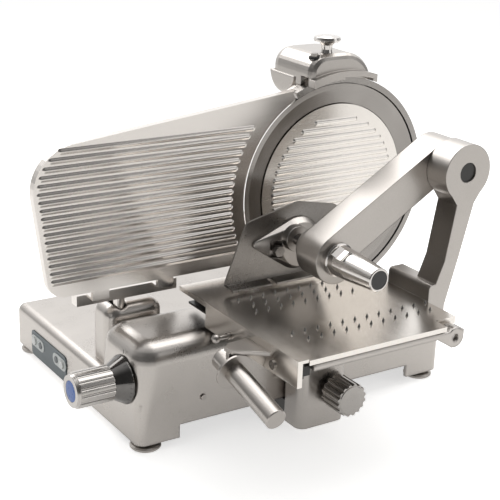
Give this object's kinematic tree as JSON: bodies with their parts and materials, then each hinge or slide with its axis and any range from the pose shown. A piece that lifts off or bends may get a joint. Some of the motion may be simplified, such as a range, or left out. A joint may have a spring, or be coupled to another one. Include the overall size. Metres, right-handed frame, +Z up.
{
  "type": "vertical meat slicer",
  "caption": "Vertical food slicer with a hand-pushed carriage, spiked table, pressing arm, ribbed gauge plate, round blade with cover, and sharpener",
  "frame": {"origin": "on the bench, under the centre of the machine's bounding box", "axes": "+X to the right along the blade plane, +Y from the user to the back, +Z up"},
  "size_m": [0.62, 0.6021, 0.5083],
  "materials": {
    "cast_alloy": "satin cast and brushed",
    "sheet_steel": "brushed",
    "blade_steel": "fine ground",
    "turned_steel": "turned and polished",
    "knob_alloy": "turned, fluted",
    "dial_chrome": "polished",
    "shaft_steel": "ground",
    "dark_alloy": "satin",
    "pulley_alloy": "turned",
    "belt_rubber": "matte",
    "stone_grit": "rough",
    "black_rail": "satin black",
    "black_plug": "gloss black",
    "panel_film": "semi gloss",
    "surround_film": "matte",
    "button_cap": "gloss"
  },
  "bodies": {
    "base": {"base_housing": "cast_alloy", "base_plate": "sheet_steel", "feet": "turned_steel", "base_screws": "turned_steel", "control_panel": "panel_film", "button_surrounds": "surround_film", "panel_lamps": "button_cap", "gauge_pedestal": "cast_alloy", "guide_rods": "shaft_steel", "guide_rod_blocks": "dark_alloy", "blade_housing": "cast_alloy", "ring_guard": "cast_alloy", "cover_disc": "sheet_steel", "cover_tie_rod": "shaft_steel", "spindle_bearings": "shaft_steel", "motor_casing": "cast_alloy", "motor": "dark_alloy", "drive_belt": "belt_rubber"},
    "start": {"start_button": "button_cap"},
    "stop": {"stop_button": "button_cap"},
    "sharpener": {"sharpener_hood": "cast_alloy", "sharpener_cup": "cast_alloy", "sharpener_stones": "stone_grit"},
    "clamp_knob": {"sharpener_knob": "turned_steel"},
    "stone_key": {"stone_button": "turned_steel"},
    "cutter": {"blade": "blade_steel", "blade_spindle": "shaft_steel", "blade_pulley": "pulley_alloy"},
    "motor_rotor": {"motor_pulley": "pulley_alloy"},
    "thickness": {"thickness_knob": "knob_alloy", "dial_cone": "dial_chrome", "thickness_spindle": "shaft_steel"},
    "gauge": {"gauge_plate": "sheet_steel", "gauge_bar": "sheet_steel", "gauge_slide": "dark_alloy"},
    "carriage": {"carriage_column": "cast_alloy", "carriage_shoe": "dark_alloy", "carriage_bridge": "dark_alloy", "fixed_rail": "black_rail"},
    "lock": {"lock_knob": "knob_alloy"},
    "table": {"table_sheet": "sheet_steel", "table_spikes": "turned_steel", "side_plate": "cast_alloy", "side_screws": "turned_steel", "moving_rail": "black_rail", "slide_rod": "shaft_steel", "front_bar": "cast_alloy", "handle_bracket": "cast_alloy", "handle_guard": "turned_steel", "handle_bar": "turned_steel", "arm_post": "cast_alloy", "pivot_pin": "black_rail"},
    "pin": {"pull_pin": "turned_steel"},
    "arm": {"meat_arm": "cast_alloy", "pusher_grip": "turned_steel", "grip_plug": "black_plug"},
    "latch": {"finger_latch": "turned_steel"},
    "pusher": {"pusher_shaft": "shaft_steel", "pusher_boss": "cast_alloy", "pusher_plate": "sheet_steel"}
  },
  "joints": [
    {"name": "start_press", "type": "slide", "parent": "base", "child": "start", "axis": [1, 0, 0], "range_m": [0, 0.002], "stiffness_N_per_m": 800},
    {"name": "stop_press", "type": "slide", "parent": "base", "child": "stop", "axis": [1, 0, 0], "range_m": [0, 0.002], "stiffness_N_per_m": 800},
    {"name": "sharpener_lift", "type": "slide", "parent": "base", "child": "sharpener", "axis": [0, 0, 1], "range_m": [0, 0.045]},
    {"name": "clamp_turn", "type": "hinge", "parent": "sharpener", "child": "clamp_knob", "pos_m": [0.1305, 0.00618, 0.484], "axis": [0, 0, 1], "range_deg": [0, 180]},
    {"name": "stone_press", "type": "slide", "parent": "sharpener", "child": "stone_key", "axis": [0, 0, -1], "range_m": [0, 0.003], "stiffness_N_per_m": 500},
    {"name": "blade_turn", "type": "hinge", "parent": "base", "child": "cutter", "pos_m": [0.15, 0.00118, 0.29], "axis": [0, 1, 0], "continuous": true},
    {"name": "motor_turn", "type": "hinge", "parent": "base", "child": "motor_rotor", "pos_m": [0.155, 0.05118, 0.15], "axis": [0, 1, 0], "continuous": true},
    {"name": "knob_turn", "type": "hinge", "parent": "base", "child": "thickness", "pos_m": [-0.2153, -0.05482, 0.093], "axis": [1, 0, 0], "range_deg": [0, 320]},
    {"name": "gauge_shift", "type": "slide", "parent": "base", "child": "gauge", "axis": [0, 1, 0], "range_m": [0, 0.01358]},
    {"name": "carriage_slide", "type": "slide", "parent": "base", "child": "carriage", "axis": [1, 0, 0], "range_m": [-0.155, 0.15]},
    {"name": "lock_turn", "type": "hinge", "parent": "carriage", "child": "lock", "pos_m": [0.058, -0.14632, 0.055], "axis": [0, 1, 0], "range_deg": [0, 270]},
    {"name": "table_slide", "type": "slide", "parent": "carriage", "child": "table", "axis": [0, -1, 0], "range_m": [0, 0.08]},
    {"name": "pin_pull", "type": "slide", "parent": "table", "child": "pin", "axis": [-1, 0, 0], "range_m": [0, 0.008], "stiffness_N_per_m": 300},
    {"name": "arm_lift", "type": "hinge", "parent": "table", "child": "arm", "pos_m": [0.21, -0.17232, 0.358], "axis": [0, 1, 0], "range_deg": [0, 120]},
    {"name": "latch_press", "type": "hinge", "parent": "arm", "child": "latch", "pos_m": [0.0244, -0.18132, 0.26729], "axis": [0.8192, 0, 0.5736], "range_deg": [0, 6], "stiffness_Nm_per_rad": 0.4},
    {"name": "pusher_slide", "type": "slide", "parent": "arm", "child": "pusher", "axis": [0, 1, 0], "range_m": [-0.025, 0.036]}
  ],
  "couplings": [
    {"joint": "knob_turn", "follows": "gauge_shift", "rad_per_m": 411.39},
    {"joint": "motor_turn", "follows": "blade_turn", "ratio": 2}
  ]
}
